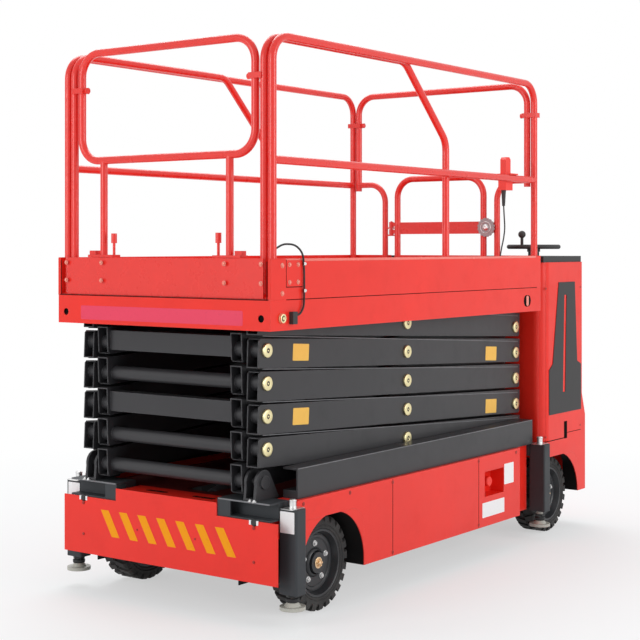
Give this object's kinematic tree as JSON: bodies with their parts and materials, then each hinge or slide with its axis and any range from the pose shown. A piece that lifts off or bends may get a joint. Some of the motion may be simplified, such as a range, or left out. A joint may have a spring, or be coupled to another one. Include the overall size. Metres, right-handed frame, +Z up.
{
  "type": "scissor lift",
  "caption": "Self-propelled electric scissor lift, folded: wheeled chassis, stacked scissor arms, railed platform with sliding deck and end gate.",
  "frame": {"origin": "on the floor under the middle of the machine", "axes": "+Z up, +X towards the console and the steered wheels, +Y to the machine's left seen from the sliding deck end looking to the console"},
  "size_m": [2.8, 1.313, 2.3799],
  "materials": {
    "red_paint": "semi-gloss powder coat",
    "black_paint": "satin powder coat",
    "axle_paint": "satin",
    "rim_black": "satin",
    "tyre_rubber": "solid rubber",
    "chrome_rod": "hard chrome",
    "foot_steel": "satin",
    "power_pack_case": "satin",
    "black_plastic": "textured",
    "red_plastic": "gloss"
  },
  "bodies": {
    "chassis": {"chassis_deck": "red_paint", "bay_walls": "red_paint", "tail_boxes": "red_paint", "spine_walls": "red_paint", "cylinder_mount": "red_paint", "end_panel": "red_paint", "skirts": "red_paint", "battery_pack": "power_pack_case", "hydraulic_pack": "power_pack_case", "base_rails": "black_paint", "pivot_lugs": "black_paint", "stabiliser_legs": "black_paint", "front_axle": "axle_paint", "steer_axle": "axle_paint", "console_body": "red_paint", "console_trim": "black_plastic"},
    "steering_wheel": {"steering_wheel": "black_plastic"},
    "foot_near_left": {"foot_near_left": "foot_steel"},
    "foot_far_left": {"foot_far_left": "foot_steel"},
    "wheel_front_left": {"tyre_front_left": "tyre_rubber", "rim_front_left": "rim_black"},
    "knuckle_left": {"knuckle_left": "axle_paint"},
    "wheel_steer_left": {"tyre_steer_left": "tyre_rubber", "rim_steer_left": "rim_black"},
    "foot_near_right": {"foot_near_right": "foot_steel"},
    "foot_far_right": {"foot_far_right": "foot_steel"},
    "wheel_front_right": {"tyre_front_right": "tyre_rubber", "rim_front_right": "rim_black"},
    "knuckle_right": {"knuckle_right": "axle_paint"},
    "wheel_steer_right": {"tyre_steer_right": "tyre_rubber", "rim_steer_right": "rim_black"},
    "inner_arms_5": {"inner_arms_5": "black_paint"},
    "outer_arms_5": {"outer_arms_5": "black_paint"},
    "inner_arms_4": {"inner_arms_4": "black_paint"},
    "outer_arms_4": {"outer_arms_4": "black_paint"},
    "inner_arms_3": {"inner_arms_3": "black_paint"},
    "outer_arms_3": {"outer_arms_3": "black_paint"},
    "inner_arms_2": {"inner_arms_2": "black_paint"},
    "outer_arms_2": {"outer_arms_2": "black_paint"},
    "inner_arms_1": {"inner_arms_1": "black_paint"},
    "outer_arms_1": {"outer_arms_1": "black_paint"},
    "platform": {"platform_frame": "red_paint", "platform_deck": "red_paint", "toe_boards": "red_paint", "guard_rail_left": "red_paint", "guard_rail_right": "red_paint", "guard_rail_far": "red_paint", "control_box": "red_plastic", "control_cable": "black_plastic", "cable_fittings": "black_plastic", "switch_lead": "black_plastic"},
    "slide_deck": {"slide_deck": "red_paint", "slide_rail_left": "red_paint", "slide_rail_right": "red_paint", "slide_loop": "red_paint"},
    "gate": {"gate": "red_paint", "latch_disc": "foot_steel"},
    "cylinder_barrel": {"cylinder_barrel": "black_paint"},
    "cylinder_rod": {"cylinder_rod": "chrome_rod"}
  },
  "joints": [
    {"name": "foot_near_left_slide", "type": "slide", "parent": "chassis", "child": "foot_near_left", "axis": [0, 0, -1], "range_m": [0, 0.12]},
    {"name": "foot_far_left_slide", "type": "slide", "parent": "chassis", "child": "foot_far_left", "axis": [0, 0, -1], "range_m": [0, 0.12]},
    {"name": "wheel_front_left_turn", "type": "hinge", "parent": "chassis", "child": "wheel_front_left", "pos_m": [-0.995, 0.4825, 0.2], "axis": [0, 1, 0], "continuous": true},
    {"name": "steer_left", "type": "hinge", "parent": "chassis", "child": "knuckle_left", "pos_m": [1.07, 0.4, 0.2], "axis": [0, 0, 1], "range_deg": [-35, 35]},
    {"name": "wheel_steer_left_turn", "type": "hinge", "parent": "knuckle_left", "child": "wheel_steer_left", "pos_m": [1.07, 0.4825, 0.2], "axis": [0, 1, 0], "continuous": true},
    {"name": "foot_near_right_slide", "type": "slide", "parent": "chassis", "child": "foot_near_right", "axis": [0, 0, -1], "range_m": [0, 0.12]},
    {"name": "foot_far_right_slide", "type": "slide", "parent": "chassis", "child": "foot_far_right", "axis": [0, 0, -1], "range_m": [0, 0.12]},
    {"name": "wheel_front_right_turn", "type": "hinge", "parent": "chassis", "child": "wheel_front_right", "pos_m": [-0.995, -0.4825, 0.2], "axis": [0, 1, 0], "continuous": true},
    {"name": "steer_right", "type": "hinge", "parent": "chassis", "child": "knuckle_right", "pos_m": [1.07, -0.4, 0.2], "axis": [0, 0, 1], "range_deg": [-35, 35]},
    {"name": "wheel_steer_right_turn", "type": "hinge", "parent": "knuckle_right", "child": "wheel_steer_right", "pos_m": [1.07, -0.4825, 0.2], "axis": [0, 1, 0], "continuous": true},
    {"name": "steering_wheel_turn", "type": "hinge", "parent": "chassis", "child": "steering_wheel", "pos_m": [1.14, -0.415, 1.52], "axis": [0, 0, 1], "range_deg": [-210, 210]},
    {"name": "lift", "type": "hinge", "parent": "chassis", "child": "inner_arms_5", "pos_m": [-1.295, 0, 0.571], "axis": [0, -1, 0], "range_deg": [0, 54.34]},
    {"name": "outer_arms_5_pivot", "type": "hinge", "parent": "inner_arms_5", "child": "outer_arms_5", "pos_m": [-0.255, 0, 0.6375], "axis": [0, 1, 0], "range_deg": [0, 108.68]},
    {"name": "inner_arms_4_pivot", "type": "hinge", "parent": "outer_arms_5", "child": "inner_arms_4", "pos_m": [-1.295, 0, 0.704], "axis": [0, -1, 0], "range_deg": [0, 108.68]},
    {"name": "outer_arms_4_pivot", "type": "hinge", "parent": "inner_arms_4", "child": "outer_arms_4", "pos_m": [-0.255, 0, 0.7705], "axis": [0, 1, 0], "range_deg": [0, 108.68]},
    {"name": "inner_arms_3_pivot", "type": "hinge", "parent": "outer_arms_4", "child": "inner_arms_3", "pos_m": [-1.295, 0, 0.837], "axis": [0, -1, 0], "range_deg": [0, 108.68]},
    {"name": "outer_arms_3_pivot", "type": "hinge", "parent": "inner_arms_3", "child": "outer_arms_3", "pos_m": [-0.255, 0, 0.9035], "axis": [0, 1, 0], "range_deg": [0, 108.68]},
    {"name": "inner_arms_2_pivot", "type": "hinge", "parent": "outer_arms_3", "child": "inner_arms_2", "pos_m": [-1.295, 0, 0.97], "axis": [0, -1, 0], "range_deg": [0, 108.68]},
    {"name": "outer_arms_2_pivot", "type": "hinge", "parent": "inner_arms_2", "child": "outer_arms_2", "pos_m": [-0.255, 0, 1.0365], "axis": [0, 1, 0], "range_deg": [0, 108.68]},
    {"name": "inner_arms_1_pivot", "type": "hinge", "parent": "outer_arms_2", "child": "inner_arms_1", "pos_m": [-1.295, 0, 1.103], "axis": [0, -1, 0], "range_deg": [0, 108.68]},
    {"name": "outer_arms_1_pivot", "type": "hinge", "parent": "inner_arms_1", "child": "outer_arms_1", "pos_m": [-0.255, 0, 1.1695], "axis": [0, 1, 0], "range_deg": [0, 108.68]},
    {"name": "platform_level", "type": "hinge", "parent": "outer_arms_1", "child": "platform", "pos_m": [-1.295, 0, 1.236], "axis": [0, -1, 0], "range_deg": [0, 54.34]},
    {"name": "deck_slide", "type": "slide", "parent": "platform", "child": "slide_deck", "axis": [-1, 0, 0], "range_m": [0, 0.9]},
    {"name": "gate_swing", "type": "hinge", "parent": "platform", "child": "gate", "pos_m": [0.843, 0.314, 1.6], "axis": [0, 0, -1], "range_deg": [0, 90]},
    {"name": "cylinder_foot", "type": "hinge", "parent": "chassis", "child": "cylinder_barrel", "pos_m": [-1.095, 0, 0.401], "axis": [0, -1, 0], "range_deg": [0, 56.8]},
    {"name": "cylinder_stroke", "type": "slide", "parent": "cylinder_barrel", "child": "cylinder_rod", "axis": [0.9597, 0, 0.2812], "range_m": [0, 0.232]}
  ],
  "couplings": [
    {"joint": "steer_right", "follows": "steer_left", "ratio": 1},
    {"joint": "steering_wheel_turn", "follows": "steer_left", "ratio": 6},
    {"joint": "outer_arms_5_pivot", "follows": "lift", "ratio": 2},
    {"joint": "inner_arms_4_pivot", "follows": "lift", "ratio": 2},
    {"joint": "outer_arms_4_pivot", "follows": "lift", "ratio": 2},
    {"joint": "inner_arms_3_pivot", "follows": "lift", "ratio": 2},
    {"joint": "outer_arms_3_pivot", "follows": "lift", "ratio": 2},
    {"joint": "inner_arms_2_pivot", "follows": "lift", "ratio": 2},
    {"joint": "outer_arms_2_pivot", "follows": "lift", "ratio": 2},
    {"joint": "inner_arms_1_pivot", "follows": "lift", "ratio": 2},
    {"joint": "outer_arms_1_pivot", "follows": "lift", "ratio": 2},
    {"joint": "platform_level", "follows": "lift", "ratio": 1},
    {"joint": "cylinder_foot", "follows": "lift", "ratio": 1.045},
    {"joint": "cylinder_stroke", "follows": "lift", "m_per_rad": 0.24409}
  ]
}
